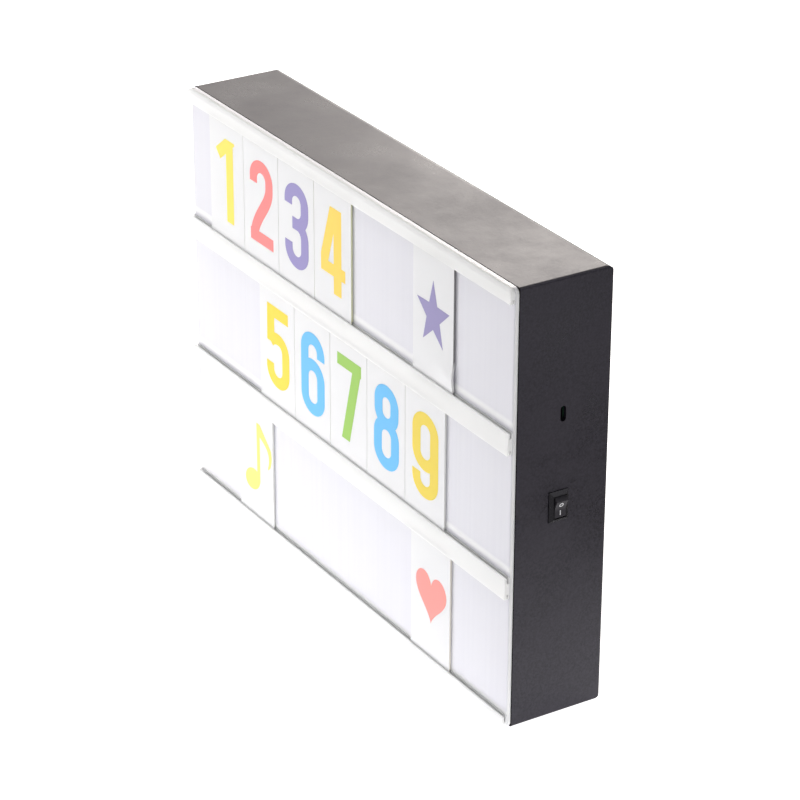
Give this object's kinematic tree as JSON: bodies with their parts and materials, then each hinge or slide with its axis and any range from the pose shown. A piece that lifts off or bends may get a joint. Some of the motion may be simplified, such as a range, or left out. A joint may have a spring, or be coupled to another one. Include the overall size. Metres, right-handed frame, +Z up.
{
  "type": "cinema light box",
  "caption": "Free-standing or wall-hung cinema light box with an opal front, rails for sliding film cards, a battery bay, a USB power inlet and a rocker switch.",
  "frame": {"origin": "centre of the base, on the surface it stands on, midway between the front of the rails and the back", "axes": "+X to the right end with the switch, seen from the front; the front faces -Y; +Z up"},
  "size_m": [0.2996, 0.055, 0.2225],
  "materials": {
    "shell_black": "fine moulded grain, satin, near black",
    "door_black": "fine moulded grain, satin, near black",
    "opal_panel": "opal white, faint upright extrusion lines, slightly violet",
    "rail_white": "milky off-white extrusion, satin",
    "reflector_white": "matt white sheet",
    "led_board": "white solder mask on aluminium",
    "led_chip": "yellow phosphor in a white chip package, unlit",
    "component_black": "moulded component bodies",
    "screw_steel": "zinc plated",
    "contact_steel": "nickel plated spring steel",
    "socket_black": "black nickel plate",
    "holder_black": "plain matt black",
    "cell_jacket": "plain dark jacket, bare metal button",
    "board_green": "green solder mask",
    "wire_red": "red insulation",
    "wire_black": "black insulation",
    "wire_white": "white insulation",
    "switch_black": "smooth black, white printed marks",
    "plunger_nylon": "natural nylon",
    "blade_copper": "copper alloy",
    "terminal_brass": "brass, tinned",
    "card_clear": "clear film tile with a printed figure"
  },
  "bodies": {
    "case": {"rear_shell": "shell_black", "front_panel": "opal_panel", "rail_top": "rail_white", "rail_upper": "rail_white", "rail_lower": "rail_white", "rail_bottom": "rail_white", "reflector": "reflector_white", "led_board_top": "led_board", "led_board_middle": "led_board", "led_board_bottom": "led_board", "led_chips": "led_chip", "led_resistors": "component_black", "led_board_screws": "screw_steel", "led_link_wires": "wire_red", "shell_screws": "screw_steel", "battery_holder": "holder_black", "holder_screws": "screw_steel", "battery_contacts": "contact_steel", "battery_springs": "contact_steel", "aa_cells": "cell_jacket", "usb_socket": "socket_black", "usb_board": "board_green", "usb_board_parts": "component_black", "usb_board_screws": "screw_steel", "wire_positive": "wire_red", "wire_negative": "wire_black", "wire_switched": "wire_red", "led_lead": "wire_white", "switch_housing": "switch_black", "switch_terminals": "terminal_brass"},
    "rocker": {"switch_rocker": "switch_black", "switch_plunger": "plunger_nylon", "switch_spring": "contact_steel"},
    "contact_blade": {"switch_contact": "blade_copper"},
    "door": {"battery_door": "door_black"},
    "card_1_body": {"card_1": "card_clear"},
    "card_2_body": {"card_2": "card_clear"},
    "card_3_body": {"card_3": "card_clear"},
    "card_4_body": {"card_4": "card_clear"},
    "card_star_body": {"card_star": "card_clear"},
    "card_5_body": {"card_5": "card_clear"},
    "card_6_body": {"card_6": "card_clear"},
    "card_7_body": {"card_7": "card_clear"},
    "card_8_body": {"card_8": "card_clear"},
    "card_9_body": {"card_9": "card_clear"},
    "card_note_body": {"card_note": "card_clear"},
    "card_heart_body": {"card_heart": "card_clear"}
  },
  "joints": [
    {"name": "rocker_tilt", "type": "hinge", "parent": "case", "child": "rocker", "pos_m": [0.1466, 0.00045, 0.11], "axis": [0, -1, 0], "range_deg": [0, 20]},
    {"name": "contact_tip", "type": "hinge", "parent": "case", "child": "contact_blade", "pos_m": [0.1389, 0.00045, 0.11], "axis": [0, 1, 0], "range_deg": [0, 16]},
    {"name": "door_hinge", "type": "hinge", "parent": "case", "child": "door", "pos_m": [0, 0.02745, 0.0125], "axis": [-1, 0, 0], "range_deg": [0, 75]},
    {"name": "card_1_slide", "type": "slide", "parent": "case", "child": "card_1_body", "axis": [1, 0, 0], "range_m": [-0.02, 0.027]},
    {"name": "card_2_slide", "type": "slide", "parent": "case", "child": "card_2_body", "axis": [1, 0, 0], "range_m": [-0.02, 0.027]},
    {"name": "card_3_slide", "type": "slide", "parent": "case", "child": "card_3_body", "axis": [1, 0, 0], "range_m": [-0.02, 0.027]},
    {"name": "card_4_slide", "type": "slide", "parent": "case", "child": "card_4_body", "axis": [1, 0, 0], "range_m": [-0.02, 0.027]},
    {"name": "card_star_slide", "type": "slide", "parent": "case", "child": "card_star_body", "axis": [1, 0, 0], "range_m": [-0.027, 0.07]},
    {"name": "card_5_slide", "type": "slide", "parent": "case", "child": "card_5_body", "axis": [1, 0, 0], "range_m": [-0.07, 0.052]},
    {"name": "card_6_slide", "type": "slide", "parent": "case", "child": "card_6_body", "axis": [1, 0, 0], "range_m": [-0.07, 0.052]},
    {"name": "card_7_slide", "type": "slide", "parent": "case", "child": "card_7_body", "axis": [1, 0, 0], "range_m": [-0.07, 0.052]},
    {"name": "card_8_slide", "type": "slide", "parent": "case", "child": "card_8_body", "axis": [1, 0, 0], "range_m": [-0.07, 0.052]},
    {"name": "card_9_slide", "type": "slide", "parent": "case", "child": "card_9_body", "axis": [1, 0, 0], "range_m": [-0.07, 0.052]},
    {"name": "card_note_slide", "type": "slide", "parent": "case", "child": "card_note_body", "axis": [1, 0, 0], "range_m": [-0.07, 0.065]},
    {"name": "card_heart_slide", "type": "slide", "parent": "case", "child": "card_heart_body", "axis": [1, 0, 0], "range_m": [-0.065, 0.07]}
  ],
  "couplings": [
    {"joint": "contact_tip", "follows": "rocker_tilt", "ratio": 0.8},
    {"joint": "card_2_slide", "follows": "card_1_slide", "ratio": 1},
    {"joint": "card_3_slide", "follows": "card_1_slide", "ratio": 1},
    {"joint": "card_4_slide", "follows": "card_1_slide", "ratio": 1},
    {"joint": "card_6_slide", "follows": "card_5_slide", "ratio": 1},
    {"joint": "card_7_slide", "follows": "card_5_slide", "ratio": 1},
    {"joint": "card_8_slide", "follows": "card_5_slide", "ratio": 1},
    {"joint": "card_9_slide", "follows": "card_5_slide", "ratio": 1}
  ]
}
